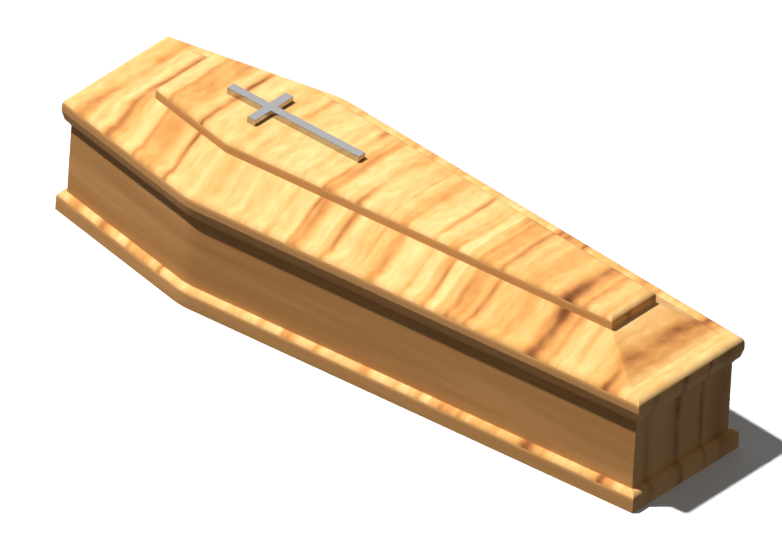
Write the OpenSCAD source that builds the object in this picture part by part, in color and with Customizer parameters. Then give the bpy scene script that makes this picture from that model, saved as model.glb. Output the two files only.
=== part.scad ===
// A wooden coffin with a raised lid and a metal cross, in millimetres.
// +X runs from the head end to the foot end, +Z is up, and the coffin stands on z = 0.
// Every moulding and board round the case is one profile carried along the case's outline:
// in a profile, x is the distance out from the case's outer face and y is the height.

/* [Case] */
// Length of the case outside, from head to foot
case_len = 2000; // [1500:10:2400]
// Width of the case outside at the head
head_w = 400; // [340:2:500]
// Width of the case outside where the lines of its sides meet at the shoulders
shoulder_w = 613; // [500:1:760]
// Width of the case outside at the foot
foot_w = 400; // [340:2:500]
// Distance from the head end to the shoulders
shoulder_x = 513; // [420:1:620]
// Outer radius of the bend at the shoulders
bend_r = 200; // [190:10:640]
// Height of the case, up to the lid
case_h = 324; // [230:1:420]
// Thickness of the boards of the sides and ends
wall_t = 20; // [14:0.5:26]
// Thickness of the base board
base_t = 20; // [12:0.5:30]

/* [Plinth] */
// Height of the plinth moulding
plinth_h = 60; // [40:1:90]
// How far the plinth stands out from the case
plinth_out = 22.5; // [16:0.5:35]
// Radius of the plinth's top edge
plinth_r = 22; // [4:0.5:30]

/* [Cornice] */
// Height of the cornice moulding under the lid
cornice_h = 47; // [30:1:70]
// Height of its lower, flatter slope
cornice_low_h = 19.5; // [8:0.5:26]
// How far its lower slope comes out
cornice_low_out = 15.5; // [6:0.5:19]

/* [Lid frame] */
// Thickness of the rails of the lid's frame
rail_h = 40.5; // [30:0.5:60]
// How far the lid stands out over the case
lid_out = 22.5; // [20:0.5:40]
// Radius of the rails' top outer edge
rail_r = 24; // [4:0.5:28]
// Flat ledge along the sides, from the case's face in to the slope
side_ledge = 18.5; // [10:0.5:40]
// Flat ledge at the head
head_ledge = 56; // [20:1:90]
// Flat ledge at the foot
foot_ledge = 37.5; // [20:1:90]
// How far each rail runs on inside the slope that stands on it
rail_lip = 5; // [1:0.5:15]

/* [Lid slopes] */
// Height of the slopes
slope_h = 69.5; // [50:0.5:90]
// Level width of a side slope
side_run = 102.5; // [70:0.5:115]
// Level width of the head slope
head_run = 164; // [100:1:200]
// Level width of the foot slope
foot_run = 152.5; // [100:1:200]
// Thickness of the slope boards
slope_t = 18; // [10:0.5:24]

/* [Top panel] */
// Thickness of the panel at its rim
panel_h = 39; // [26:0.5:60]
// Radius of its top edge
panel_r = 20; // [4:0.5:25]
// Thickness of the panel inside its rim
panel_skin = 18; // [10:0.5:24]
// Width of its thick rim
panel_rim = 64; // [50:1:78]

/* [Cross] */
// Length of the upright bar
cross_len = 466; // [200:1:600]
// Span of the arms
cross_span = 160; // [80:1:190]
// Width of both bars
bar_w = 28; // [10:0.5:40]
// Thickness of the cross
cross_t = 20; // [4:0.5:30]
// Distance from the cross's top end to the nearer edge of the arms
arm_x = 127; // [30:1:150]
// Distance from the case's head end to the cross's top end
cross_x = 379; // [300:1:500]

/* [Hidden] */

// Clearance between glued faces that bend round the shoulders
glue_gap = 0.2;
// Narrowest flat left beside a rounded edge
land = 0.3;
// Flats that make up the bend at each shoulder, and each rounded edge that follows it
bend_steps = 12;
round_steps = 8;
// Reach of a cutting shape past what it cuts
far = 60;

wood = "#e6a552";
wood_edge = "#d08c48";
wood_side = "#a0703e";
metal = "#b9bbbd";

HEAD = -1;
FOOT = 1;
// Left and right of one who lies in the coffin, or looks from its head to its foot
LEFT = 1;
RIGHT = -1;

// Heights of the joints between the layers of the lid
ledge_z = case_h + rail_h;
panel_z = ledge_z + slope_h;
top_z = panel_z + panel_h;

// Insets from the case's face to the panel's edge, at the sides, head and foot
panel_side = side_ledge + side_run;
panel_head = head_ledge + head_run;
panel_foot = foot_ledge + foot_run;

// Corners of the outline on the right side, of negative y, and the headings of its two straights
h_pt = [-case_len / 2, -head_w / 2];
s_pt = [shoulder_x - case_len / 2, -shoulder_w / 2];
f_pt = [case_len / 2, -foot_w / 2];
head_way = atan2(s_pt.y - h_pt.y, s_pt.x - h_pt.x);
foot_way = atan2(f_pt.y - s_pt.y, f_pt.x - s_pt.x);

// Centre of the bend, an arc that both straights meet as tangents
bend = foot_way - head_way;
bend_c = s_pt - bend_r * tan(bend / 2) * heading(head_way) - bend_r * outward(head_way);

// Depth of the side rails, which carry the feet of the side slopes
rail_side = side_ledge + cut_w(side_run) + rail_lip;

function heading(way) = [cos(way), sin(way)];
function outward(way) = [sin(way), -cos(way)];
function flip(p) = [p.x, -p.y];
function ledge(end) = end == HEAD ? head_ledge : foot_ledge;
function run(end) = end == HEAD ? head_run : foot_run;

// Level width of a slope board's cut foot or top, for a slope of the given level run
function cut_w(run) = slope_t / sin(atan2(slope_h, run));

// Where a line along the side meets one across the end, each at its distance out from the
// case's face (negative is inside)
function corner(end, side_out, end_out) =
    let (
        way = end == HEAD ? head_way : foot_way,
        from = (end == HEAD ? h_pt : f_pt) + side_out * outward(way),
        x = end * (case_len / 2 + end_out)
    )
    [x, from.y + (x - from.x) * tan(way)];

// A station is a base point and a direction: a distance x out lies at base + x * direction.
function at(station, x) = station[0] + x * station[1];

// Stations round the bend
bend_stations = [
    for (i = [0 : bend_steps])
        let (out = outward(head_way + bend * i / bend_steps))
        [bend_c + bend_r * out, out]
];

// Station on an upright cut across a corner: the cut is end_0 out from the end where it
// crosses the side's face, and goes out from the end by end_step for each step out of the side
function cut_station(end, end_0, end_step) =
    let (base = corner(end, 0, end_0))
    [base, corner(end, 1, end_0 + end_step) - base];

// Cut that halves the corner, and cut under a hip of the lid
function mitre(end) = cut_station(end, 0, 1);
function hip(end) =
    let (step = run(end) / side_run)
    cut_station(end, side_ledge * step - ledge(end), step);

// Closed outline of a board that is inset from the case's face
function outline(side_in, head_in, foot_in) =
    let (
        near = concat(
            [corner(HEAD, -side_in, -head_in)],
            [for (s = bend_stations) at(s, -side_in)],
            [corner(FOOT, -side_in, -foot_in)]
        )
    )
    concat(near, [for (i = [len(near) - 1 : -1 : 0]) flip(near[i])]);

// Skin of a solid whose rings of points follow one another, closed by its first and last ring
module skin(rings) {
    n = len(rings[0]);
    last = len(rings) - 1;
    polyhedron(
        points = [for (ring = rings) each ring],
        faces = concat(
            [[for (j = [0 : n - 1]) j]],
            [
                for (i = [0 : last - 1], j = [0 : n - 1])
                    let (k = (j + 1) % n)
                    [i * n + j, (i + 1) * n + j, (i + 1) * n + k, i * n + k]
            ],
            [[for (j = [n - 1 : -1 : 0]) last * n + j]]
        )
    );
}

module each_way(side) {
    mirror([0, side > 0 ? 1 : 0, 0])
        children();
}

// A profile carried along one side, between its cuts at the head and foot
module side_run(side, profile, head_cut, foot_cut) {
    stations = concat([head_cut], bend_stations, [foot_cut]);
    each_way(side)
        skin([
            for (s = stations)
                [for (p = profile) let (q = at(s, p.x)) [q.x, q.y, p.y]]
        ]);
}

// A profile carried across one end, between upright cuts through the given points of the
// right side, which run from outside inwards
module end_run(end, profile, cut) {
    intersection() {
        translate([end * case_len / 2, 0, 0])
            rotate([90, 0, end == FOOT ? 0 : 180])
                linear_extrude(shoulder_w + 2 * far, center = true)
                    polygon(profile);
        translate([0, 0, -far])
            linear_extrude(top_z + 2 * far)
                polygon(concat(cut, [for (i = [len(cut) - 1 : -1 : 0]) flip(cut[i])]));
    }
}

// Cut of an end piece: a mitre as deep as the side piece, then square to that piece
function end_mitre(end, depth) = [
    corner(end, far, far), corner(end, -depth, -depth), corner(end, -depth, -depth - 2 * far)
];

// Cut of an end slope, from outside the hip's foot to inside its top
function end_hip(end) = [
    at(hip(end), side_ledge), at(hip(end), -panel_side - side_run / 2)
];

// ---- profiles: x is the distance out from the case's face, y is the height ----

// A bar with its top outer edge rounded
function round_bar(x_in, x_out, z_0, z_1, r) = concat(
    [[x_in, z_0], [x_out, z_0]],
    [
        for (i = [0 : round_steps])
            let (a = 90 * i / round_steps)
            [x_out - r + r * cos(a), z_1 - r + r * sin(a)]
    ],
    [[x_in, z_1]]
);

plinth_profile = round_bar(
    glue_gap, plinth_out, 0, plinth_h, min(plinth_r, plinth_out - glue_gap - land)
);

cornice_z = case_h - cornice_h;
cornice_profile = [
    [glue_gap, cornice_z], [cornice_low_out, cornice_z + cornice_low_h],
    [lid_out, case_h], [glue_gap, case_h]
];

function rail_profile(depth) = round_bar(-depth, lid_out, case_h, ledge_z, rail_r);

function slope_profile(ledge, run) =
    let (w = cut_w(run))
    [
        [-ledge - w, ledge_z], [-ledge, ledge_z],
        [-ledge - run, panel_z], [-ledge - run - w, panel_z]
    ];

// ---- the case ----

module base_board() {
    inset = wall_t + glue_gap;
    color(wood_side)
        linear_extrude(base_t)
            polygon(outline(inset, inset, inset));
}

module case_side(side) {
    stations = concat([mitre(HEAD)], bend_stations, [mitre(FOOT)]);
    color(wood_side)
        each_way(side)
            linear_extrude(case_h)
                polygon(concat(
                    [for (s = stations) at(s, 0)],
                    [for (i = [len(stations) - 1 : -1 : 0]) at(stations[i], -wall_t)]
                ));
}

module case_end(end) {
    wall = [[-wall_t, 0], [0, 0], [0, case_h], [-wall_t, case_h]];
    color(wood_side)
        end_run(end, wall, end_mitre(end, wall_t));
}

module side_moulding(side, profile) {
    color(wood_edge)
        side_run(side, profile, mitre(HEAD), mitre(FOOT));
}

module end_moulding(end, profile) {
    color(wood_edge)
        end_run(end, profile, end_mitre(end, 0));
}

// ---- the lid ----

module lid_rail_end(end) {
    depth = ledge(end) + cut_w(run(end)) + rail_lip;
    color(wood_edge)
        end_run(end, rail_profile(depth), end_mitre(end, rail_side));
}

module lid_slope_side(side) {
    color(wood)
        side_run(side, slope_profile(side_ledge, side_run), hip(HEAD), hip(FOOT));
}

module lid_slope_end(end) {
    color(wood)
        end_run(end, slope_profile(ledge(end), run(end)), end_hip(end));
}

// The panel's rings go down the inside of its rim, across the rim's foot, and up and over its
// rounded edge: each is an inset from the panel's edge and a height.
module lid_panel() {
    r = panel_r;
    levels = concat(
        [[panel_rim, top_z - panel_skin], [panel_rim, panel_z], [0, panel_z]],
        [
            for (i = [0 : round_steps])
                let (a = 90 * i / round_steps)
                [r - r * cos(a), top_z - r + r * sin(a)]
        ]
    );
    color(wood)
        skin([
            for (level = levels)
                let (d = level[0])
                [
                    for (p = outline(panel_side + d, panel_head + d, panel_foot + d))
                        [p.x, p.y, level[1]]
                ]
        ]);
}

module cross() {
    color(metal)
        translate([cross_x - case_len / 2, 0, top_z]) {
            translate([0, -bar_w / 2, 0])
                cube([cross_len, bar_w, cross_t]);
            translate([arm_x, -cross_span / 2, 0])
                cube([bar_w, cross_span, cross_t]);
        }
}

base_board();
case_side(LEFT);  // side_left
case_side(RIGHT);  // side_right
case_end(HEAD);  // head_board
case_end(FOOT);  // foot_board
side_moulding(LEFT, plinth_profile);  // plinth_left
side_moulding(RIGHT, plinth_profile);  // plinth_right
end_moulding(HEAD, plinth_profile);  // plinth_head
end_moulding(FOOT, plinth_profile);  // plinth_foot
side_moulding(LEFT, cornice_profile);  // cornice_left
side_moulding(RIGHT, cornice_profile);  // cornice_right
end_moulding(HEAD, cornice_profile);  // cornice_head
end_moulding(FOOT, cornice_profile);  // cornice_foot
side_moulding(LEFT, rail_profile(rail_side));  // lid_rail_left
side_moulding(RIGHT, rail_profile(rail_side));  // lid_rail_right
lid_rail_end(HEAD);  // lid_rail_head
lid_rail_end(FOOT);  // lid_rail_foot
lid_slope_side(LEFT);  // lid_slope_left
lid_slope_side(RIGHT);  // lid_slope_right
lid_slope_end(HEAD);  // lid_slope_head
lid_slope_end(FOOT);  // lid_slope_foot
lid_panel();
cross();
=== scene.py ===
"""A wooden coffin: a six-sided case on a plinth, a sloped lid with a raised panel, and a cross.

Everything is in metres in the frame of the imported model: +X runs from the head end to the
foot end, +Y is on the left of one who looks from the head to the foot, and +Z is up.

Each board and moulding is one cross-section carried along the case's outline. In a
cross-section the first number is the distance out from the case's outer face, so that less
than zero is inside, and the second number is the height.
"""

import logging
from collections.abc import Sequence
from dataclasses import dataclass
from enum import Enum, IntEnum
from math import atan2, cos, exp, pi, radians, sin, tan
from typing import NamedTuple

import bpy
import numpy as np
from mathutils import Matrix, Vector


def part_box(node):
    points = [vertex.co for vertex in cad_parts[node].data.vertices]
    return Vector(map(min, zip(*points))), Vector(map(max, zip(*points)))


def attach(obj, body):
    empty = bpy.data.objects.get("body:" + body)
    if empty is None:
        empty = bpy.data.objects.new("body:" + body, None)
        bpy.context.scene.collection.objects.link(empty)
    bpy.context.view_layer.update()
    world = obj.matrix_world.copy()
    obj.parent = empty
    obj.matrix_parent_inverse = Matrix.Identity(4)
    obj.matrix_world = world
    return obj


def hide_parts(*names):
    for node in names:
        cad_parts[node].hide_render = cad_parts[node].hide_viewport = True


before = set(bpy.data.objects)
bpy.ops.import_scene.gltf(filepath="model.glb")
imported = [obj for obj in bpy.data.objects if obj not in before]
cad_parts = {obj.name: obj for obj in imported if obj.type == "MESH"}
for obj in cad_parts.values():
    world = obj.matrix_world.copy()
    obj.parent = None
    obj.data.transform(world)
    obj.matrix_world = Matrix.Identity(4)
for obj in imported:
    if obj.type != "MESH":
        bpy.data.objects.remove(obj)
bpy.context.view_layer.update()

MM = 0.001
log = logging.getLogger("coffin")

Array = np.ndarray
Colour = tuple[float, float, float, float]
Socket = bpy.types.NodeSocket


class End(IntEnum):
    """An end of the coffin; its value is the sign of x there."""

    HEAD = -1
    FOOT = 1


class Side(IntEnum):
    """A long side of the coffin; its value is the sign of y there."""

    RIGHT = -1
    LEFT = 1


class Zone(IntEnum):
    """What a face of a piece shows, which settles its finish."""

    TOP = 0
    SIDE = 1
    END = 2
    TRIM = 3
    INNER = 4
    METAL = 5


class Slot(Enum):
    """The record's material slots."""

    LID = "lid_wood"
    MOULDING = "moulding_wood"
    WALL = "wall_wood"
    INNER = "inner_wood"
    METAL = "cross_metal"


class Grain(Enum):
    """Which way a wood's fibres run."""

    ACROSS = "across the coffin, seen from above"
    ALONG = "along the piece"
    UPRIGHT = "up the piece"


# ---------------------------------------------------------------- cross-sections


class Corner(NamedTuple):
    """A corner of a cross-section: its place, its rounding, and the zone of the edge after it."""

    out: float
    height: float
    ease: float
    zone: Zone


@dataclass(frozen=True)
class Section:
    """A cross-section with rounded corners.

    Attributes:
        points: distances out and heights, one row a point.
        zones: the zone of the edge from each point to the next.
    """

    points: Array
    zones: Array

    def shrunk(self, depth: float) -> Array:
        """Moves the outline inwards, each point against the normal of its neighbours' chord.

        Args:
            depth: how far each point moves.

        Returns:
            The moved points, one row a point.
        """
        chord = np.roll(self.points, -1, axis=0) - np.roll(self.points, 1, axis=0)
        normal = np.stack([chord[:, 1], -chord[:, 0]], axis=1)
        normal /= np.linalg.norm(normal, axis=1, keepdims=True)
        x, z = self.points.T
        area = np.sum(x * np.roll(z, -1) - np.roll(x, -1) * z) / 2
        return self.points - depth * np.sign(area) * normal

    def split(self, out: float) -> "Section":
        """Adds a point wherever the closed outline crosses a distance out.

        Args:
            out: that distance.

        Returns:
            The section with the added points.
        """
        gap = self.points[:, 0] - out
        after = np.roll(gap, -1)
        where = np.flatnonzero(gap * after < 0)
        share = (gap[where] / (gap[where] - after[where]))[:, None]
        added = self.points[where] * (1 - share) + np.roll(self.points, -1, axis=0)[where] * share
        points = np.insert(self.points, where + 1, added, axis=0)
        return Section(points, np.insert(self.zones, where + 1, self.zones[where]))

    def lengths(self) -> Array:
        """Running length round the outline, from the first point back to itself."""
        step = np.roll(self.points, -1, axis=0) - self.points
        return np.concatenate([[0.0], np.cumsum(np.linalg.norm(step, axis=1))])


def ease_corners(corners: Sequence[Corner], steps: int, flat: float) -> tuple[Array, Array]:
    """Rounds every corner of a closed cross-section.

    With unit vectors a and b from a corner to its neighbours and h half the angle between
    them, an arc of radius r touches the edges r / tan h from the corner, and its centre lies
    r / sin h from it on the line that halves the angle. A point is added on each edge just
    before and after the arc, so that smooth shading stops there. It lies no further away than
    a third of what the arcs leave of the edge.

    Args:
        corners: the corners in order.
        steps: how many straight steps each arc has; a multiple of four.
        flat: how far those added points lie from the arc.

    Returns:
        The points, as (corner, point of that corner, 2), and their zones, as (corner, point):
        the zone changes a quarter of the way round each arc.
    """
    spot = np.array([[c.out, c.height] for c in corners])
    ease = np.array([c.ease for c in corners])
    after = np.roll(spot, -1, axis=0) - spot
    length = np.linalg.norm(after, axis=1)
    to_next = after / length[:, None]
    to_last = -np.roll(to_next, 1, axis=0)
    half = np.arccos(np.clip(np.sum(to_next * to_last, axis=1), -1, 1)) / 2
    reach = ease / np.tan(half)
    middle = to_next + to_last
    middle /= np.linalg.norm(middle, axis=1, keepdims=True)
    centre = spot + middle * (ease / np.sin(half))[:, None]
    start = spot + to_last * reach[:, None] - centre
    stop = spot + to_next * reach[:, None] - centre
    angle = np.arctan2(start[:, 1], start[:, 0])
    turn = np.arctan2(stop[:, 1], stop[:, 0]) - angle
    turn = (turn + pi) % (2 * pi) - pi
    sweep = angle[:, None] + turn[:, None] * np.linspace(0, 1, steps + 1)
    arc = centre[:, None] + ease[:, None, None] * np.stack([np.cos(sweep), np.sin(sweep)], -1)
    spare = length - reach - np.roll(reach, -1)
    gap_after = np.minimum(flat, spare / 3)
    gap_before = np.roll(gap_after, 1)
    before = arc[:, 0] + to_last * gap_before[:, None]
    beyond = arc[:, -1] + to_next * gap_after[:, None]
    points = np.concatenate([before[:, None], arc, beyond[:, None]], axis=1)
    own = np.array([int(c.zone) for c in corners])[:, None]
    first_quarter = np.arange(points.shape[1]) <= steps // 4
    return points, np.where(first_quarter, np.roll(own, 1, axis=0), own)


@dataclass(frozen=True)
class Joinery:
    """How finely edges are worked.

    Attributes:
        arris: rounding of an edge that is only broken with sandpaper.
        groove: depth of the fine line where two pieces meet at a mitre.
        steps: straight steps in each rounding.
        flat: width of the strip beside a rounding where its shading ends.
        run_on: distance to the corners at the ends of an open run, which only aim it.
    """

    arris: float = 0.8 * MM
    groove: float = 0.35 * MM
    steps: int = 16
    flat: float = 1.0 * MM
    run_on: float = 8 * MM

    def section(self, corners: Sequence[Corner]) -> Section:
        """A closed cross-section with every corner rounded."""
        points, zones = ease_corners(corners, self.steps, self.flat)
        return Section(points.reshape(-1, 2), zones.reshape(-1))

    def path(self, corners: Sequence[Corner]) -> Section:
        """An open run through rounded corners; the first and last only give directions."""
        points, zones = ease_corners(corners, self.steps, self.flat)
        return Section(points[1:-1].reshape(-1, 2), zones[1:-1].reshape(-1))


# ---------------------------------------------------------------- meshes


def stand(name: str, data: bpy.types.ID) -> bpy.types.Object:
    """Adds an object to the scene.

    Args:
        name: the object's name.
        data: its mesh, light or camera.

    Returns:
        The object.
    """
    made = bpy.data.objects.new(name, data)
    bpy.context.scene.collection.objects.link(made)
    return made


@dataclass(frozen=True)
class Shell:
    """A closed surface through rings of points, with a flat cap on its first and last ring.

    Attributes:
        rings: the points, as (ring, point, 3).
        chart: the surface coordinates, as (ring, point + 1, 2); the last repeats the first
            point at the end of its ring.
        zones: the zone of each face, as (ring - 1, point).
        caps: the zones of the first and last cap.
        creases: the points whose line from ring to ring is a sharp edge.
    """

    rings: Array
    chart: Array
    zones: Array
    caps: tuple[Zone, Zone]
    creases: tuple[int, ...] = ()

    SHARP = radians(33)

    def faces(self) -> tuple[Array, Array, Array]:
        """Numbers the points of every face.

        Returns:
            The quads, one row a face, the first cap and the last cap.
        """
        count, size = self.rings.shape[:2]
        number = np.arange(count * size).reshape(count, size)
        ahead = np.roll(number, -1, axis=1)
        quads = np.stack([number[:-1], ahead[:-1], ahead[1:], number[1:]], axis=-1)
        return quads.reshape(-1, 4), number[0, ::-1], number[-1]

    def volume(self) -> float:
        """Adds up a sixth of the triple product of each triangle's corners.

        Returns:
            The volume, less than zero where the faces look inwards.
        """
        quads, first, last = self.faces()
        fans = [
            np.stack([np.full(len(cap) - 2, cap[0]), cap[1:-1], cap[2:]], axis=1)
            for cap in (first, last)
        ]
        triangles = np.concatenate([quads[:, :3], quads[:, [0, 2, 3]], *fans])
        a, b, c = np.moveaxis(self.rings.reshape(-1, 3)[triangles], 1, 0)
        return float(np.sum(a * np.cross(b, c)) / 6)

    def build(self, name: str, finishes: dict[Zone, bpy.types.Material]) -> bpy.types.Object:
        """Makes the mesh object.

        Args:
            name: the piece's name.
            finishes: the material of each zone.

        Returns:
            The object, whose faces all look outwards.
        """
        quads, first, last = self.faces()
        chart = self.chart
        corners = np.stack([chart[:-1, :-1], chart[:-1, 1:], chart[1:, 1:], chart[1:, :-1]], 2)
        corners = corners.reshape(-1, 4, 2)
        caps = [(first, chart[0, -2::-1]), (last, chart[-1, :-1])]
        if self.volume() < 0:
            quads, corners = quads[:, ::-1], corners[:, ::-1]
            caps = [(cap[::-1], spots[::-1]) for cap, spots in caps]
        mesh = bpy.data.meshes.new(name)
        polygons = [*quads.tolist(), *(cap.tolist() for cap, _ in caps)]
        mesh.from_pydata(self.rings.reshape(-1, 3).tolist(), [], polygons)
        layer = mesh.uv_layers.new(name="run")
        flat = np.concatenate([corners.reshape(-1, 2), *(spots for _, spots in caps)])
        layer.data.foreach_set("uv", flat.ravel())
        zones = np.concatenate([self.zones.ravel(), [int(zone) for zone in self.caps]])
        used, numbers = np.unique(zones, return_inverse=True)
        for zone in used:
            mesh.materials.append(finishes[Zone(int(zone))])
        mesh.polygons.foreach_set("material_index", numbers.astype(np.int32))
        mesh.polygons.foreach_set("use_smooth", np.ones(len(zones), dtype=bool))
        mesh.update()
        mesh.set_sharp_from_angle(angle=self.SHARP)
        self.crease(mesh)
        return stand(name, mesh)

    def crease(self, mesh: bpy.types.Mesh) -> None:
        """Marks the lines of the creased points as sharp edges.

        Args:
            mesh: the mesh of this shell.
        """
        if not self.creases:
            return
        size = self.rings.shape[1]
        ends = np.empty(len(mesh.edges) * 2, dtype=np.int32)
        mesh.edges.foreach_get("vertices", ends)
        ends = ends.reshape(-1, 2)
        column = ends % size
        sharp = np.empty(len(mesh.edges), dtype=bool)
        mesh.edges.foreach_get("use_edge_sharp", sharp)
        sharp |= (column[:, 0] == column[:, 1]) & np.isin(column[:, 0], self.creases)
        mesh.edges.foreach_set("use_edge_sharp", sharp)


def place(piece: bpy.types.Object, node: str) -> None:
    """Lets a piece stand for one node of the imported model, and reports it.

    Args:
        piece: the finished piece.
        node: the node that it replaces.
    """
    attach(piece, "root")
    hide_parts(node)
    log.info("%s: %d faces, for %s", piece.name, len(piece.data.polygons), node)


# ---------------------------------------------------------------- the case's outline


def heading(way: float | Array) -> Array:
    """Unit vector of a heading, measured from +X towards +Y."""
    return np.stack([np.cos(way), np.sin(way)], axis=-1)


def outward(way: float | Array) -> Array:
    """Unit vector to the right of a heading, which is outwards on the right side."""
    return np.stack([np.sin(way), -np.cos(way)], axis=-1)


class Cut(NamedTuple):
    """An upright cut across a corner of the outline.

    It is start out from the end where it crosses the line of the side's face, and goes out
    from the end by step for each unit out from the side. The start is less than zero inside.
    """

    start: float
    step: float

    def end_out(self, side_out: Array) -> Array:
        """Distance out from the end at a distance out from the side."""
        return self.start + self.step * side_out

    def side_out(self, end_out: Array) -> Array:
        """Distance out from the side at a distance out from the end."""
        return (end_out - self.start) / self.step


@dataclass(frozen=True)
class Outline:
    """The case's outer face in plan: straight from the head to the shoulders and on to the foot.

    The lines below are for the right side; the left side is its mirror image.

    Attributes:
        length: from the head end to the foot end.
        head_width: at the head end.
        foot_width: at the foot end.
        shoulder_width: where the lines of the sides meet.
        shoulder_at: distance from the head end to there.
        bend_radius: outer radius of the bend that rounds the shoulders.
        bend_steps: straight steps in that bend.
    """

    length: float
    head_width: float
    foot_width: float
    shoulder_width: float = 613 * MM
    shoulder_at: float = 513 * MM
    bend_radius: float = 200 * MM
    bend_steps: int = 12

    def start(self, end: End) -> Array:
        """The right corner at an end."""
        width = self.head_width if end is End.HEAD else self.foot_width
        return np.array([end * self.length / 2, -width / 2])

    def shoulder(self) -> Array:
        """Where the lines of the right side meet."""
        return np.array([self.shoulder_at - self.length / 2, -self.shoulder_width / 2])

    def way(self, end: End) -> float:
        """Heading of the straight next to an end, towards the foot."""
        across = (self.start(end) - self.shoulder()) * end
        return atan2(across[1], across[0])

    def bend(self) -> tuple[Array, Array, Array]:
        """The bend, an arc that both straights meet as tangents.

        Its centre lies inwards by the radius from the point of the head straight that is
        radius times tan of half the turn before the shoulder.

        Returns:
            Points of the arc, the outward direction at each, and the running length from the
            head corner to each.
        """
        first, last = self.way(End.HEAD), self.way(End.FOOT)
        back = self.bend_radius * tan((last - first) / 2)
        touch = self.shoulder() - back * heading(first)
        centre = touch - self.bend_radius * outward(first)
        ways = np.linspace(first, last, self.bend_steps + 1)
        out = outward(ways)
        before = np.linalg.norm(touch - self.start(End.HEAD))
        return centre + self.bend_radius * out, out, before + self.bend_radius * (ways - first)

    def corner(self, end: End, side_out: Array, end_out: Array) -> Array:
        """Where a line along the right side meets one across an end.

        The side's line is moved out by side_out; its y at the x of the end's line follows
        from the tangent of its heading.

        Args:
            end: the end.
            side_out: distance out from the side's face.
            end_out: distance out from the end's face.

        Returns:
            The points in plan, one row for each pair of distances.
        """
        way = self.way(end)
        base = self.start(end) + np.multiply.outer(np.asarray(side_out, float), outward(way))
        x = end * (self.length / 2 + np.asarray(end_out, float))
        y = base[..., 1] + (x - base[..., 0]) * tan(way)
        return np.stack(np.broadcast_arrays(x, y), axis=-1)

    def along_side(
        self, side: Side, section: Section, cuts: dict[End, Cut], groove: float, shift: float
    ) -> Shell:
        """Carries a cross-section along a long side, between its cuts at the head and foot.

        Every ring is base + out * direction in plan. The first and last ring are shrunk by
        the groove, and the rings next to them lie a groove's width further in.

        Args:
            side: the long side.
            section: the cross-section.
            cuts: the cut at each end.
            groove: depth and width of the fine line at each cut.
            shift: added to the surface coordinate across the grain, to vary the figure.

        Returns:
            The shell.
        """
        out, small = section.points[:, 0], section.shrunk(groove)
        base, direction, run = self.bend()
        bent = base[:, None] + out[None, :, None] * direction[:, None]
        head, foot = self.way(End.HEAD), self.way(End.FOOT)
        plan, height = [], []
        for end in End:
            full = self.corner(end, out, cuts[end].end_out(out))
            tight = self.corner(end, small[:, 0], cuts[end].end_out(small[:, 0]))
            inner = full - end * groove * heading(self.way(end))
            plan.append([tight, inner][::-int(end)])
            height.append([small[:, 1], section.points[:, 1]][::-int(end)])
        level = np.broadcast_to(section.points[:, 1], bent.shape[:2])
        points = np.concatenate([plan[0], bent, plan[1]])
        heights = np.concatenate([height[0], level, height[1]])
        before = (np.array(plan[0]) - self.start(End.HEAD)) @ heading(head)
        beyond = run[-1] + (np.array(plan[1]) - base[-1]) @ heading(foot)
        along = np.concatenate([before, np.broadcast_to(run[:, None], bent.shape[:2]), beyond])
        flip = np.array([1.0, -side])
        rings = np.concatenate([points * flip, heights[..., None]], axis=-1)
        return sweep_shell(rings, along, section, shift)

    def across_end(
        self, end: End, section: Section, side_out: Array, groove: float, shift: float
    ) -> Shell:
        """Carries a cross-section across an end, from the cut on the right to the left.

        Args:
            end: the end.
            section: the cross-section.
            side_out: how far out from the side each of its points stops.
            groove: depth and width of the fine line at each cut.
            shift: added to the surface coordinate up the section, to vary the figure.

        Returns:
            The shell.
        """
        small = section.shrunk(groove)
        nudge = small[:, 0] - section.points[:, 0]
        full = self.corner(end, side_out, section.points[:, 0])
        tight = self.corner(end, side_out + nudge, small[:, 0])
        inner = full + [0.0, groove]
        plan = np.stack([tight, inner, inner * [1, -1], tight * [1, -1]])
        height = np.stack([small[:, 1], *[section.points[:, 1]] * 2, small[:, 1]])
        rings = np.concatenate([plan, height[..., None]], axis=-1)
        return sweep_shell(rings, plan[..., 1], section, shift)

    def loop(self, side_in: float, end_in: dict[End, float]) -> Array:
        """Closed outline of a board that is inset from the case's face.

        Args:
            side_in: inset from the sides.
            end_in: inset from each end.

        Returns:
            Points in plan, along the right side from the head and back along the left.
        """
        base, direction, _ = self.bend()
        right = np.concatenate([
            self.corner(End.HEAD, -side_in, -end_in[End.HEAD])[None],
            base - side_in * direction,
            self.corner(End.FOOT, -side_in, -end_in[End.FOOT])[None],
        ])
        return np.concatenate([right, right[::-1] * [1, -1]])

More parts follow.
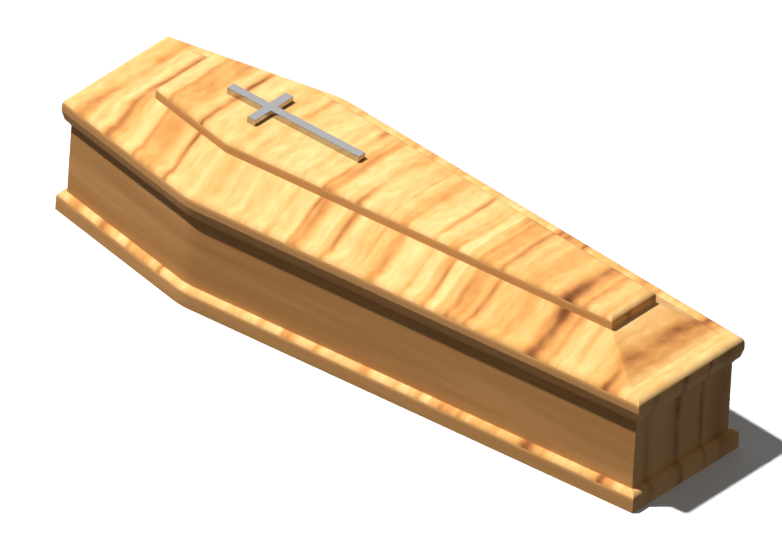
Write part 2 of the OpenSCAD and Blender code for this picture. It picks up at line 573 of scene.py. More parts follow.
    def board(
        self, path: Section, side_in: float, end_in: dict[End, float], caps: tuple[Zone, Zone]
    ) -> Shell:
        """A board whose edge follows the case's outline.

        Every ring is the closed outline at one point of the path. Along the loop the surface
        coordinate is the running length, set so that it equals y at the foot.

        Args:
            path: the run up the board's edge, measured out from its widest outline.
            side_in: inset of that outline from the sides.
            end_in: its inset from each end.
            caps: the zones of the underside and the top.

        Returns:
            The shell.
        """
        rings = []
        for out, height in path.points:
            inset = {end: end_in[end] - out for end in End}
            plan = self.loop(side_in - out, inset)
            rings.append(np.column_stack([plan, np.full(len(plan), height)]))
        rings = np.array(rings)
        size = rings.shape[1]
        foot = size // 2 - 1
        step = np.diff(np.concatenate([rings, rings[:, :1]], axis=1), axis=1)
        run = np.cumsum(np.linalg.norm(step, axis=2), axis=1)
        run = np.concatenate([np.zeros((len(run), 1)), run], axis=1)
        run += rings[:, foot, 1:2] - run[:, foot, None]
        up = np.broadcast_to(path.lengths()[:-1, None], run.shape)
        zones = np.repeat(path.zones[:-1, None], size, axis=1)
        for crossing in (foot, size - 1):
            column = zones[:, crossing]
            zones[:, crossing] = np.where(column == Zone.TRIM, Zone.END, column)
        creases = (0, foot, foot + 1, size - 1)
        return Shell(rings, np.stack([run, up], axis=-1), zones, caps, creases)


def sweep_shell(rings: Array, along: Array, section: Section, shift: float) -> Shell:
    """The shell of a cross-section that was carried along a run.

    Args:
        rings: the points, as (ring, point, 3).
        along: the running length of each point, as (ring, point).
        section: the cross-section.
        shift: added to the coordinate round the section.

    Returns:
        The shell, with planed wood on its cut ends.
    """
    along = np.concatenate([along, along[:, :1]], axis=1)
    girth = np.broadcast_to(section.lengths() + shift, along.shape)
    zones = np.broadcast_to(section.zones, (len(rings) - 1, len(section.zones)))
    chart = np.stack([along, girth], axis=-1)
    return Shell(rings, chart, zones, (Zone.INNER, Zone.INNER))


# ---------------------------------------------------------------- finishes


class Step(NamedTuple):
    """A smooth step: from low, at or before the start, to high, at or after the stop."""

    start: float
    stop: float
    low: float
    high: float


class Tree:
    """A node tree, with short ways to add the nodes that the finishes use."""

    def __init__(self, owner: bpy.types.Material | bpy.types.World) -> None:
        """Starts an empty tree.

        Args:
            owner: the material or world that the tree belongs to.
        """
        owner.use_nodes = True
        self.nodes = owner.node_tree.nodes
        self.links = owner.node_tree.links
        self.nodes.clear()

    def add(self, kind: str, inputs: dict[str | int, object], **settings: object) -> bpy.types.Node:
        """Adds a node.

        Args:
            kind: the node's type, without the leading ShaderNode.
            inputs: a value, or a socket to link, for each named or numbered input.
            **settings: the node's own settings.

        Returns:
            The node.
        """
        node = self.nodes.new("ShaderNode" + kind)
        for key, value in settings.items():
            setattr(node, key, value)
        for key, value in inputs.items():
            if isinstance(value, Socket):
                self.links.new(value, node.inputs[key])
            else:
                node.inputs[key].default_value = value
        return node

    def math(self, operation: str, *values: float | Socket, clamp: bool = False) -> Socket:
        """One step of arithmetic on numbers or sockets."""
        inputs = dict(enumerate(values))
        return self.add("Math", inputs, operation=operation, use_clamp=clamp).outputs[0]

    def noise(
        self, spot: Socket, scale: tuple[float, float], seed: float, detail: float = 2.0
    ) -> Socket:
        """Smooth noise from 0 to 1 on a plane.

        Args:
            spot: the vector (across, along).
            scale: cycles per metre across and along.
            seed: moves the noise, so that two of them differ.
            detail: finer octaves.

        Returns:
            The noise's socket.
        """
        moved = self.add(
            "VectorMath",
            {0: spot, 1: (*scale, 0.0), 2: (seed, seed / 3, 0.0)},
            operation="MULTIPLY_ADD",
        )
        inputs = {"Vector": moved.outputs[0], "Scale": 1.0, "Detail": detail}
        return self.add("TexNoise", inputs, noise_dimensions="2D").outputs["Fac"]

    def remap(self, value: Socket, step: Step) -> Socket:
        """Moves a value from one range to another by a smooth step.

        Args:
            value: the value.
            step: both ranges.

        Returns:
            The moved value's socket.
        """
        inputs = {
            "Value": value, "From Min": step.start, "From Max": step.stop,
            "To Min": step.low, "To Max": step.high,
        }
        return self.add("MapRange", inputs, interpolation_type="SMOOTHSTEP").outputs[0]

    def ramp(self, value: Socket, stops: Sequence[tuple[float, Colour]]) -> Socket:
        """Gives each value from 0 to 1 a colour, blended between stops.

        Args:
            value: the value.
            stops: the value and colour of each stop, from 0 up.

        Returns:
            The colour's socket.
        """
        node = self.add("ValToRGB", {0: value})
        elements = node.color_ramp.elements
        elements[0].position, elements[0].color = stops[0]
        elements[1].position, elements[1].color = stops[-1]
        for position, colour in stops[1:-1]:
            elements.new(position).color = colour
        return node.outputs["Color"]


def srgb(red: int, green: int, blue: int) -> Colour:
    """Turns a screen colour into a linear one, by the standard curve of sRGB.

    Args:
        red: from 0 to 255.
        green: from 0 to 255.
        blue: from 0 to 255.

    Returns:
        The linear colour, opaque.
    """
    value = np.array([red, green, blue]) / 255
    linear = np.where(value <= 0.04045, value / 12.92, ((value + 0.055) / 1.055) ** 2.4)
    return (*(float(part) for part in linear), 1.0)


class Ripple(NamedTuple):
    """Soft unevenness: its depth, and its cycles a metre across and along the fibres."""

    depth: float
    across: float
    along: float

    def spread(self, tree: Tree, spot: Socket, seed: float, detail: float) -> Socket:
        """Noise from minus the depth to plus the depth.

        Args:
            tree: the material's nodes.
            spot: the vector (across, along).
            seed: moves the noise.
            detail: finer octaves.

        Returns:
            The noise's socket.
        """
        noise = tree.noise(spot, (self.across, self.along), seed, detail)
        return tree.math("MULTIPLY_ADD", noise, 2 * self.depth, -self.depth)


class Streak(NamedTuple):
    """A dark line of the figure.

    It darkens from its rise before its place to its place, and pales again over its fall.
    It is deepest at its heart, a place along the fibres, and keeps the share of its depth
    that is given by rest far away from there.
    """

    at: float
    rise: float
    fall: float
    depth: float
    heart: float = 0.0
    rest: float = 1.0


@dataclass(frozen=True)
class WoodFinish:
    """Varnished wood whose figure is soft bands and darker streaks.

    Every length is in metres. Across means across the fibres, and along means along them.

    Attributes:
        name: the material's name.
        grain: which way the fibres run.
        palette: the colours of the palest wood, at tone 0, and of darker and darker wood.
        tone: the mean place in the palette.
        bands: the soft bands in the tone.
        clouds: the mottling in the tone.
        streaks: the darker lines.
        wander: how far the bands and streaks stray from straight lines.
        joint: where the veneer is joined, or None.
        roughness: of the varnished surface.
        seed: moves all the noise.
    """

    name: str
    grain: Grain
    palette: tuple[tuple[float, Colour], ...]
    tone: float
    bands: Ripple
    clouds: Ripple
    streaks: tuple[Streak, ...] = ()
    wander: Ripple = Ripple(8 * MM, 4.0, 5.0)
    joint: float | None = None
    roughness: float = 0.45
    seed: float = 1.0

    # The tone of the darkest colour in every palette.
    DARKEST = 1.25
    # The share that is left of a streak or a pale edge at one reach from its middle.
    FADE = exp(-1)
    # How far along the fibres a streak keeps its heart's depth.
    HEART_REACH = 110 * MM
    # Cycles a metre, across and along, of the streaks' swelling, and how it changes their depth.
    SWELL_SCALE = (9.0, 7.0)
    SWELL = Step(0.3, 0.7, 0.65, 1.3)
    # How much darker the veneer is beyond its joint, how much paler it is just before the joint,
    # and how many times a metre that paleness falls by the fade.
    JOINT_TONE = 0.15
    JOINT_PALE = 0.12
    JOINT_FADE = 220.0
    # Cycles a metre, across and along, of the fibres, and what they add to the tone, the
    # roughness and the relief.
    FIBRES = (900.0, 14.0)
    FIBRE_TONE = 0.10
    FIBRE_ROUGH = 0.16
    FIBRE_RELIEF = 0.15 * MM
    FIBRE_STRENGTH = 0.1
    SHEEN = 0.12
    # Octaves of each kind of noise.
    WANDER_DETAIL = 2.0
    BAND_DETAIL = 3.0
    CLOUD_DETAIL = 1.0
    FIBRE_DETAIL = 3.0
    # Added to the seed, so that no two kinds of noise are alike.
    WANDER_SEED = 3
    BAND_SEED = 7
    CLOUD_SEED = 11
    SWELL_SEED = 17
    FIBRE_SEED = 23

    def coordinates(self, tree: Tree) -> tuple[Socket, Socket]:
        """The places across and along the fibres, in metres.

        Args:
            tree: the material's nodes.

        Returns:
            The socket across the fibres and the socket along them.
        """
        source = tree.add("TexCoord", {})
        if self.grain is Grain.ACROSS:
            parts = tree.add("SeparateXYZ", {0: source.outputs["Object"]})
            return parts.outputs["X"], parts.outputs["Y"]
        parts = tree.add("SeparateXYZ", {0: source.outputs["UV"]})
        if self.grain is Grain.ALONG:
            return parts.outputs["Y"], parts.outputs["X"]
        return parts.outputs["X"], parts.outputs["Y"]

    def streak_tone(self, tree: Tree, streak: Streak, across: Socket, along: Socket) -> Socket:
        """Depth of one streak: it fades with e to the power of minus a scaled distance squared.

        Args:
            tree: the material's nodes.
            streak: the streak.
            across: place across the fibres, with its wander.
            along: place along the fibres.

        Returns:
            The socket of its depth.
        """
        offset = tree.math("SUBTRACT", across, streak.at)
        ahead = tree.math("MULTIPLY", offset, 1 / streak.fall)
        behind = tree.math("MULTIPLY", offset, -1 / streak.rise)
        scaled = tree.math("MAXIMUM", ahead, behind)
        square = tree.math("MULTIPLY", scaled, scaled)
        pulse = tree.math("POWER", self.FADE, square)
        if streak.rest == 1.0:
            return tree.math("MULTIPLY", pulse, streak.depth)
        shift = tree.math("SUBTRACT", along, streak.heart)
        reach = tree.math("DIVIDE", shift, self.HEART_REACH)
        near = tree.math("POWER", self.FADE, tree.math("MULTIPLY", reach, reach))
        depth = tree.math(
            "MULTIPLY_ADD", near, streak.depth * (1 - streak.rest), streak.depth * streak.rest
        )
        return tree.math("MULTIPLY", pulse, depth)

    def streaked(
        self, tree: Tree, tone: Socket, spot: Socket, across: Socket, along: Socket
    ) -> Socket:
        """Adds the streaks, whose depth slow noise varies from place to place.

        Args:
            tree: the material's nodes.
            tone: the tone without them.
            spot: the vector (across, along), with its wander.
            across: place across the fibres, with its wander.
            along: place along the fibres.

        Returns:
            The tone's socket.
        """
        first, *others = (self.streak_tone(tree, streak, across, along) for streak in self.streaks)
        total = first
        for part in others:
            total = tree.math("ADD", total, part)
        swell = tree.noise(spot, self.SWELL_SCALE, self.seed + self.SWELL_SEED)
        return tree.math("MULTIPLY_ADD", total, tree.remap(swell, self.SWELL), tone)

    def joined(self, tree: Tree, tone: Socket, across: Socket) -> Socket:
        """Makes the wood darker beyond the veneer's joint, and paler just before it.

        Args:
            tree: the material's nodes.
            tone: the tone without the joint.
            across: place across the fibres.

        Returns:
            The tone's socket.
        """
        beyond = tree.math("GREATER_THAN", across, self.joint)
        tone = tree.math("MULTIPLY_ADD", beyond, self.JOINT_TONE, tone)
        offset = tree.math("SUBTRACT", across, self.joint)
        pale = tree.math("POWER", self.FADE, tree.math("MULTIPLY", offset, -self.JOINT_FADE))
        pale = tree.math("MULTIPLY", pale, tree.math("SUBTRACT", 1.0, beyond))
        return tree.math("MULTIPLY_ADD", tree.math("MINIMUM", pale, 1.0), -self.JOINT_PALE, tone)

    def figure(self, tree: Tree) -> tuple[Socket, Socket]:
        """The place in the palette at each point.

        It is the mean tone, plus noise for the bands and the mottling, plus the streaks and
        the step at the joint.

        Args:
            tree: the material's nodes.

        Returns:
            The tone's socket, and the vector (across, along) without its wander.
        """
        across, along = self.coordinates(tree)
        plain = tree.add("CombineXYZ", {0: across, 1: along}).outputs[0]
        seed = self.seed + self.WANDER_SEED
        drift = self.wander.spread(tree, plain, seed, self.WANDER_DETAIL)
        bent = tree.math("ADD", across, drift)
        spot = tree.add("CombineXYZ", {0: bent, 1: along}).outputs[0]
        band = self.bands.spread(tree, spot, self.seed + self.BAND_SEED, self.BAND_DETAIL)
        cloud = self.clouds.spread(tree, spot, self.seed + self.CLOUD_SEED, self.CLOUD_DETAIL)
        tone = tree.math("ADD", tree.math("ADD", band, self.tone), cloud)
        if self.streaks:
            tone = self.streaked(tree, tone, spot, bent, along)
        if self.joint is not None:
            tone = self.joined(tree, tone, across)
        return tone, plain

    def material(self) -> bpy.types.Material:
        """Makes the material: the figure, with fine fibres in its tone, sheen and relief.

        Returns:
            The material.
        """
        made = bpy.data.materials.new(self.name)
        tree = Tree(made)
        tone, plain = self.figure(tree)
        fibre = tree.noise(plain, self.FIBRES, self.seed + self.FIBRE_SEED, self.FIBRE_DETAIL)
        grain = tree.math("MULTIPLY_ADD", fibre, self.FIBRE_TONE, -self.FIBRE_TONE / 2)
        share = tree.math("DIVIDE", tree.math("ADD", tone, grain), self.DARKEST, clamp=True)
        colour = tree.ramp(share, [(stop / self.DARKEST, tint) for stop, tint in self.palette])
        smoothest = self.roughness - self.FIBRE_ROUGH / 2
        rough = tree.math("MULTIPLY_ADD", fibre, self.FIBRE_ROUGH, smoothest)
        relief = {"Height": fibre, "Strength": self.FIBRE_STRENGTH, "Distance": self.FIBRE_RELIEF}
        shader = tree.add("BsdfPrincipled", {
            "Base Color": colour, "Roughness": rough, "Specular IOR Level": self.SHEEN,
            "Normal": tree.add("Bump", relief).outputs[0],
        })
        tree.add("OutputMaterial", {0: shader.outputs[0]})
        return made


@dataclass(frozen=True)
class MetalFinish:
    """Polished, silver-coloured metal.

    Attributes:
        name: the material's name.
        colour: its colour.
        roughness: its mean roughness.
        haze_scale: cycles a metre of the unevenness in its polish.
        haze: how much the roughness varies with it.
        line_scale: cycles a metre, along and across the coffin, of its brushed lines.
        line_strength: of their relief.
        line_relief: depth of their relief.
    """

    name: str
    colour: Colour
    roughness: float = 0.16
    haze_scale: tuple[float, float] = (60.0, 60.0)
    haze: float = 0.06
    line_scale: tuple[float, float] = (40.0, 1800.0)
    line_strength: float = 0.02
    line_relief: float = 0.05 * MM

    HAZE_SEED = 5.0
    HAZE_DETAIL = 4.0
    LINE_SEED = 9.0

    def material(self) -> bpy.types.Material:
        """Makes the material, with a little unevenness in its polish.

        Returns:
            The material.
        """
        made = bpy.data.materials.new(self.name)
        tree = Tree(made)
        spot = tree.add("TexCoord", {}).outputs["Object"]
        haze = tree.noise(spot, self.haze_scale, self.HAZE_SEED, self.HAZE_DETAIL)
        rough = tree.math("MULTIPLY_ADD", haze, self.haze, self.roughness - self.haze / 2)
        lines = tree.noise(spot, self.line_scale, self.LINE_SEED)
        relief = {"Height": lines, "Strength": self.line_strength, "Distance": self.line_relief}
        shader = tree.add("BsdfPrincipled", {
            "Base Color": self.colour, "Metallic": 1.0, "Roughness": rough,
            "Normal": tree.add("Bump", relief).outputs[0],
        })
        tree.add("OutputMaterial", {0: shader.outputs[0]})
        return made


# Colours of varnished wood by tone: the lid's figured veneer, the side boards and mouldings,
# and the upright veneer of the ends.
WOOD_COLOURS = (
    (0.0, srgb(251, 218, 149)),
    (0.20, srgb(248, 196, 126)),
    (0.34, srgb(238, 181, 108)),
    (0.45, srgb(229, 168, 96)),
    (0.62, srgb(218, 151, 85)),
    (0.75, srgb(202, 136, 79)),
    (0.87, srgb(182, 121, 69)),
    (1.0, srgb(155, 97, 54)),
    (1.25, srgb(118, 70, 38)),
)

SIDE_COLOURS = (
    (0.0, srgb(230, 171, 108)),
    (0.5, srgb(203, 147, 88)),
    (1.25, srgb(168, 112, 62)),
)

END_COLOURS = (
    (0.0, srgb(236, 184, 120)),
    (0.5, srgb(207, 155, 94)),
    (1.25, srgb(120, 76, 38)),
)

# The streaks across the lid, placed from the head end.
LID_STREAKS = (
    Streak(0.056, 0.036, 0.022, 0.34),
    Streak(0.168, 0.018, 0.020, 0.52),
    Streak(0.200, 0.012, 0.012, 0.20, heart=-0.10, rest=0.2),
    Streak(0.222, 0.008, 0.008, 0.15),
    Streak(0.280, 0.007, 0.010, 0.40),
    Streak(0.305, 0.018, 0.020, 0.16),
    Streak(0.340, 0.042, 0.028, 0.38),
    Streak(0.412, 0.010, 0.008, 0.60),
    Streak(0.500, 0.016, 0.010, 0.14, heart=0.02, rest=0.3),
    Streak(0.556, 0.022, 0.020, 0.22),
    Streak(0.606, 0.010, 0.011, 0.36, heart=0.14, rest=0.5),
    Streak(0.672, 0.016, 0.016, 0.18),
    Streak(0.772, 0.012, 0.016, 0.20),
    Streak(0.806, 0.010, 0.014, 0.80, heart=0.20, rest=0.03),
    Streak(0.846, 0.008, 0.006, 0.54, heart=-0.16, rest=0.3),
    Streak(0.868, 0.015, 0.020, 0.40),
    Streak(0.938, 0.010, 0.010, 0.16),
    Streak(0.958, 0.011, 0.012, 0.58, heart=-0.16, rest=0.5),
    Streak(0.978, 0.012, 0.012, 0.40, heart=0.20, rest=0.05),
    Streak(1.033, 0.026, 0.024, 0.22, heart=0.16, rest=0.3),
    Streak(1.058, 0.006, 0.006, 0.20),
    Streak(1.116, 0.024, 0.018, 0.38),
    Streak(1.220, 0.010, 0.006, 0.56, heart=0.04, rest=0.35),
    Streak(1.275, 0.010, 0.010, 0.16),
    Streak(1.298, 0.011, 0.007, 0.66, heart=-0.18, rest=0.3),
    Streak(1.352, 0.012, 0.008, 0.55, heart=0.18, rest=0.1),
    Streak(1.372, 0.010, 0.014, 0.40),
    Streak(1.402, 0.022, 0.026, 0.18),
    Streak(1.437, 0.009, 0.009, 0.40),
    Streak(1.540, 0.030, 0.030, 0.14),
    Streak(1.640, 0.012, 0.012, 0.30, heart=-0.22, rest=0.4),
    Streak(1.662, 0.020, 0.024, 0.66, heart=-0.14, rest=0.7),
    Streak(1.713, 0.009, 0.011, 0.24),
    # This streak darkens the start of the panel's rounded foot edge. On the panel it is painted
    # shade, and across the rest of the lid it is a line of the figure.
    Streak(1.785, 0.020, 0.015, 0.16),
    Streak(1.860, 0.040, 0.060, 0.14),
    Streak(1.901, 0.022, 0.026, 0.56),
    Streak(1.938, 0.012, 0.014, 0.22),
)

# The streaks up the ends, placed from the middle towards the left side.
END_STREAKS = (
    Streak(-0.150, 0.012, 0.016, 0.30),
    Streak(-0.022, 0.020, 0.012, 0.65),
    Streak(0.080, 0.012, 0.008, 0.55),
    Streak(0.150, 0.050, 0.060, 0.45),
)


# Where the lid's veneer is joined, from the head end.
VENEER_JOINT = 1.332


def from_head(streaks: Sequence[Streak], length: float) -> tuple[Streak, ...]:
    """Streaks that are placed from the head end, placed from the middle instead."""
    return tuple(streak._replace(at=streak.at - length / 2) for streak in streaks)


# ---------------------------------------------------------------- the pieces


SIDE_NAMES = {Side.LEFT: "left", Side.RIGHT: "right"}
END_NAMES = {End.HEAD: "head", End.FOOT: "foot"}
MITRE = Cut(0.0, 1.0)
MITRES = {End.HEAD: MITRE, End.FOOT: MITRE}
# Depth of a cut that runs right through: more than any board is wide.
THROUGH = 1.0


@dataclass(frozen=True)
class Workshop:
    """What every maker of pieces shares.

    Attributes:
        outline: the case's outer face in plan.
        joinery: the edge work.
        finishes: the material of each zone.
    """

    outline: Outline
    joinery: Joinery
    finishes: dict[Zone, bpy.types.Material]

    # Added to the left side's coordinate round its sections, so that its figure differs.
    LEFT_SHIFT = 1.0

    def side_piece(
        self, name: str, node: str, side: Side, corners: Sequence[Corner],
        cuts: dict[End, Cut],
    ) -> None:
        """Builds and places a piece that runs along a long side.

        Args:
            name: the piece's name.
            node: the node that it replaces.
            side: the long side.
            corners: its cross-section.
            cuts: its cut at each end.
        """
        section = self.joinery.section(corners)
        shift = 0.0 if side is Side.RIGHT else self.LEFT_SHIFT
        shell = self.outline.along_side(side, section, cuts, self.joinery.groove, shift)
        place(shell.build(name, self.finishes), node)

    def end_piece(
        self, name: str, node: str, end: End, corners: Sequence[Corner],
        cut: Cut, deepest: float,
    ) -> None:
        """Builds and places a piece that crosses an end.

        Args:
            name: the piece's name.
            node: the node that it replaces.
            end: the end.
            corners: its cross-section.
            cut: its cut at both corners.
            deepest: how far in from the side the cut runs before it turns along the side.
        """
        section = self.joinery.section(corners).split(-deepest)
        stop = np.maximum(cut.side_out(section.points[:, 0]), -deepest)
        shell = self.outline.across_end(end, section, stop, self.joinery.groove, 0.0)
        place(shell.build(name, self.finishes), node)

    def frame(
        self, title: str, node: str, sides: Sequence[Corner],
        ends: dict[End, Sequence[Corner]], cuts: dict[End, Cut] = MITRES,
        deepest: float = THROUGH,
    ) -> None:
        """Builds and places the four pieces of a frame: one on each side and across each end.

        Args:
            title: the pieces' names after the word for their side or end.
            node: the nodes' names before that word.
            sides: cross-section of the pieces on the sides.
            ends: cross-section of the piece at each end.
            cuts: the cuts at each end.
            deepest: how far in from the sides the end pieces' cuts run.
        """
        for side, word in SIDE_NAMES.items():
            self.side_piece(f"{word}_{title}", f"{node}_{word}", side, sides, cuts)
        for end, word in END_NAMES.items():
            name, replaced = f"{word}_{title}", f"{node}_{word}"
            self.end_piece(name, replaced, end, ends[end], cuts[end], deepest)


@dataclass(frozen=True)
class Case:
    """The box: four mitred walls round a base board.

    Attributes:
        height: of the walls.
        base: thickness of the base board.
        wall: thickness of the walls.
        clearance: between the base board and the walls.
    """

    height: float
    base: float
    wall: float = 20 * MM
    clearance: float = 0.2 * MM

    def wall_corners(self, zone: Zone, arris: float) -> list[Corner]:
        """Cross-section of a wall.

        Args:
            zone: the zone of its outer face.
            arris: rounding of its edges.

        Returns:
            Its corners.
        """
        return [
            Corner(-self.wall, 0.0, arris, Zone.INNER),
            Corner(0.0, 0.0, arris, zone),
            Corner(0.0, self.height, arris, Zone.INNER),
            Corner(-self.wall, self.height, arris, Zone.INNER),
        ]

    def build_walls(self, shop: Workshop) -> None:
        """Builds the four walls.

        Args:
            shop: the outline, edge work and finishes.
        """
        arris = shop.joinery.arris
        long_wall = self.wall_corners(Zone.SIDE, arris)
        end_wall = self.wall_corners(Zone.END, arris)
        for side, word in SIDE_NAMES.items():
            name, node = f"{word}_side_board", f"side_{word}"
            shop.side_piece(name, node, side, long_wall, MITRES)
        for end, word in END_NAMES.items():
            name, node = f"{word}_end_board", f"{word}_board"
            shop.end_piece(name, node, end, end_wall, MITRE, THROUGH)

    def build_floor(self, shop: Workshop) -> None:
        """Builds the base board, inside the walls.

        Args:
            shop: the outline, edge work and finishes.
        """
        arris, far = shop.joinery.arris, -shop.joinery.run_on
        path = shop.joinery.path([
            Corner(far, 0.0, arris, Zone.INNER),
            Corner(0.0, 0.0, arris, Zone.INNER),
            Corner(0.0, self.base, arris, Zone.INNER),
            Corner(far, self.base, arris, Zone.INNER),
        ])
        inset = self.wall + self.clearance
        ends = {end: inset for end in End}
        shell = shop.outline.board(path, inset, ends, (Zone.INNER, Zone.INNER))
        place(shell.build("floor_board", shop.finishes), "base_board")

    def build(self, shop: Workshop) -> None:
        """Builds the walls and the base board.

        Args:
            shop: the outline, edge work and finishes.
        """
        self.build_walls(shop)
        self.build_floor(shop)


@dataclass(frozen=True)
class Plinth:
    """The base moulding, with a full round on its top edge.

    Attributes:
        height: of the moulding.
        out: how far it stands out from the case.
        inner: its back edge, clear of the case.
        land: narrowest flat beside the round.
    """

    height: float
    out: float
    inner: float = 0.2 * MM
    land: float = 0.6 * MM

    def corners(self, face: Zone, above: Zone) -> list[Corner]:
        """Cross-section of the moulding.

        Args:
            face: the zone of its outer face.
            above: the zone of its rounded top.

        Returns:
            Its corners.
        """
        fine = self.land / 3
        rounding = self.out - self.inner - self.land
        return [
            Corner(self.inner, 0.0, fine, Zone.INNER),
            Corner(self.out, 0.0, 2 * fine, face),
            Corner(self.out, self.height, rounding, above),
            Corner(self.inner, self.height, fine, Zone.INNER),
        ]

    def build(self, shop: Workshop) -> None:
        """Builds the four mouldings.

        Args:
            shop: the outline, edge work and finishes.
        """
        sides = self.corners(Zone.TRIM, Zone.TOP)
        # At both ends the rounded top also takes the darker end finish. This is painted shade for
        # the top of the foot end's plinth, which lies in the lid's shadow.
        ends = dict.fromkeys(End, self.corners(Zone.END, Zone.END))
        shop.frame("plinth", "plinth", sides, ends)


@dataclass(frozen=True)
class Cornice:
    """The moulding under the lid: a flatter slope below a steeper one.

    Attributes:
        low: height of its bottom edge.
        top: height of its top.
        out: how far its top stands out from the case.
        break_height: height of the lower slope.
        break_out: how far the lower slope comes out.
        inner: its back edge, clear of the case.
    """

    low: float
    top: float
    out: float
    break_height: float = 19.5 * MM
    break_out: float = 15.5 * MM
    inner: float = 0.2 * MM

    def corners(self, zone: Zone, arris: float) -> list[Corner]:
        """Cross-section of the moulding.

        Args:
            zone: the zone of its outer faces.
            arris: rounding of the edge between them; its other edges have half of that.

        Returns:
            Its corners.
        """
        fine = arris / 2
        return [
            Corner(self.inner, self.low, fine, zone),
            Corner(self.break_out, self.low + self.break_height, arris, zone),
            Corner(self.out, self.top, fine, Zone.INNER),
            Corner(self.inner, self.top, fine, Zone.INNER),
        ]

    def build(self, shop: Workshop) -> None:
        """Builds the four mouldings.

        Args:
            shop: the outline, edge work and finishes.
        """
        arris = shop.joinery.arris
        sides = self.corners(Zone.TRIM, arris)
        ends = dict.fromkeys(End, self.corners(Zone.END, arris))
        shop.frame("cornice", "cornice", sides, ends)


@dataclass(frozen=True)
class Lid:
    """The lid: four rails, four sloped boards that stand on them, and a raised panel.

    Attributes:
        low: height of the rails' underside.
        ledge_height: height of the rails' top.
        panel_height: height of the slopes' top.
        top: height of the panel's top.
        out: how far the rails stand out from the case.
        end_ledges: width of the flat at each end, from the case's face in to the slope.
        end_runs: level width of each end slope.
        side_ledge: width of the flat at the sides.
        side_run: level width of the side slopes.
        rail_round: rounding of the rails' top outer edge.
        rail_lip: how far each rail runs on inside the slope that stands on it.
        slope_board: thickness of the slope boards.
        panel_round: rounding of the panel's top edge.
        panel_skin: thickness of the panel inside its rim.
        panel_rim: width of that rim.
    """

    low: float
    ledge_height: float
    panel_height: float
    top: float
    out: float
    end_ledges: dict[End, float]
    end_runs: dict[End, float]
    side_ledge: float
    side_run: float
    rail_round: float = 24 * MM
    rail_lip: float = 5 * MM
    slope_board: float = 18 * MM
    panel_round: float = 20 * MM
    panel_skin: float = 18 * MM
    panel_rim: float = 64 * MM

    def board_width(self, run: float) -> float:
        """Level width of a slope board's cut foot, which is its thickness over sin of its slope."""
        return self.slope_board / sin(atan2(self.panel_height - self.ledge_height, run))

    def rail_depth(self, ledge: float, run: float) -> float:
        """Width of a rail inside the case's face: its ledge, the slope's foot and a lip."""
        return ledge + self.board_width(run) + self.rail_lip

    def hip(self, end: End) -> Cut:
        """The cut under the hip, where an end slope meets the side slopes."""
        step = self.end_runs[end] / self.side_run
        return Cut(self.side_ledge * step - self.end_ledges[end], step)

    def rail_corners(self, depth: float, zone: Zone, arris: float) -> list[Corner]:
        """Cross-section of a rail.

        Args:
            depth: its width inside the case's face.
            zone: the zone of its outer face.
            arris: rounding of its small edges.

        Returns:
            Its corners.
        """
        return [
            Corner(-depth, self.low, arris, Zone.INNER),
            Corner(self.out, self.low, arris, zone),
            Corner(self.out, self.ledge_height, self.rail_round, Zone.TOP),
            Corner(-depth, self.ledge_height, arris, Zone.INNER),
        ]

    def slope_corners(self, ledge: float, run: float, arris: float) -> list[Corner]:
        """Cross-section of a slope board, cut level at its foot and top.

        Args:
            ledge: distance from the case's face in to its foot.
            run: its level width.
            arris: four times the rounding of its edges, which are thin.

        Returns:
            Its corners.
        """
        width = self.board_width(run)
        fine = arris / 4
        return [
            Corner(-ledge - width, self.ledge_height, fine, Zone.INNER),
            Corner(-ledge, self.ledge_height, fine, Zone.TOP),
            Corner(-ledge - run, self.panel_height, fine, Zone.INNER),
            Corner(-ledge - run - width, self.panel_height, fine, Zone.INNER),
        ]

    def build_rails(self, shop: Workshop) -> None:
        """Builds the four rails; an end rail is mitred as deep as the side rail is wide.

        Args:
            shop: the outline, edge work and finishes.
        """
        arris = shop.joinery.arris
        depth = self.rail_depth(self.side_ledge, self.side_run)
        sides = self.rail_corners(depth, Zone.TRIM, arris)
        ends = {}
        for end in End:
            own = self.rail_depth(self.end_ledges[end], self.end_runs[end])
            ends[end] = self.rail_corners(own, Zone.END, arris)
        shop.frame("lid_rail", "lid_rail", sides, ends, deepest=depth)

    def build_slopes(self, shop: Workshop) -> None:
        """Builds the four sloped boards.

        Args:
            shop: the outline, edge work and finishes.
        """
        arris = shop.joinery.arris
        sides = self.slope_corners(self.side_ledge, self.side_run, arris)
        ends = {
            end: self.slope_corners(self.end_ledges[end], self.end_runs[end], arris)
            for end in End
        }
        hips = {end: self.hip(end) for end in End}
        shop.frame("lid_slope", "lid_slope", sides, ends, cuts=hips)

    def build_panel(self, shop: Workshop) -> None:
        """Builds the raised panel, hollowed on its underside.

        Args:
            shop: the outline, edge work and finishes.
        """
        arris = shop.joinery.arris
        ceiling = self.top - self.panel_skin
        far = -self.panel_rim - shop.joinery.run_on
        path = shop.joinery.path([
            Corner(far, ceiling, arris, Zone.INNER),
            Corner(-self.panel_rim, ceiling, arris, Zone.INNER),
            Corner(-self.panel_rim, self.panel_height, arris, Zone.INNER),
            Corner(0.0, self.panel_height, arris, Zone.TRIM),
            Corner(0.0, self.top, self.panel_round, Zone.TOP),
            Corner(far, self.top, arris, Zone.TOP),
        ])
        ends = {end: self.end_ledges[end] + self.end_runs[end] for end in End}
        inset = self.side_ledge + self.side_run
        shell = shop.outline.board(path, inset, ends, (Zone.INNER, Zone.TOP))
        place(shell.build("raised_panel", shop.finishes), "lid_panel")

    def build(self, shop: Workshop) -> None:
        """Builds the whole lid.

        Args:
            shop: the outline, edge work and finishes.
        """
        self.build_rails(shop)
        self.build_slopes(shop)
        self.build_panel(shop)


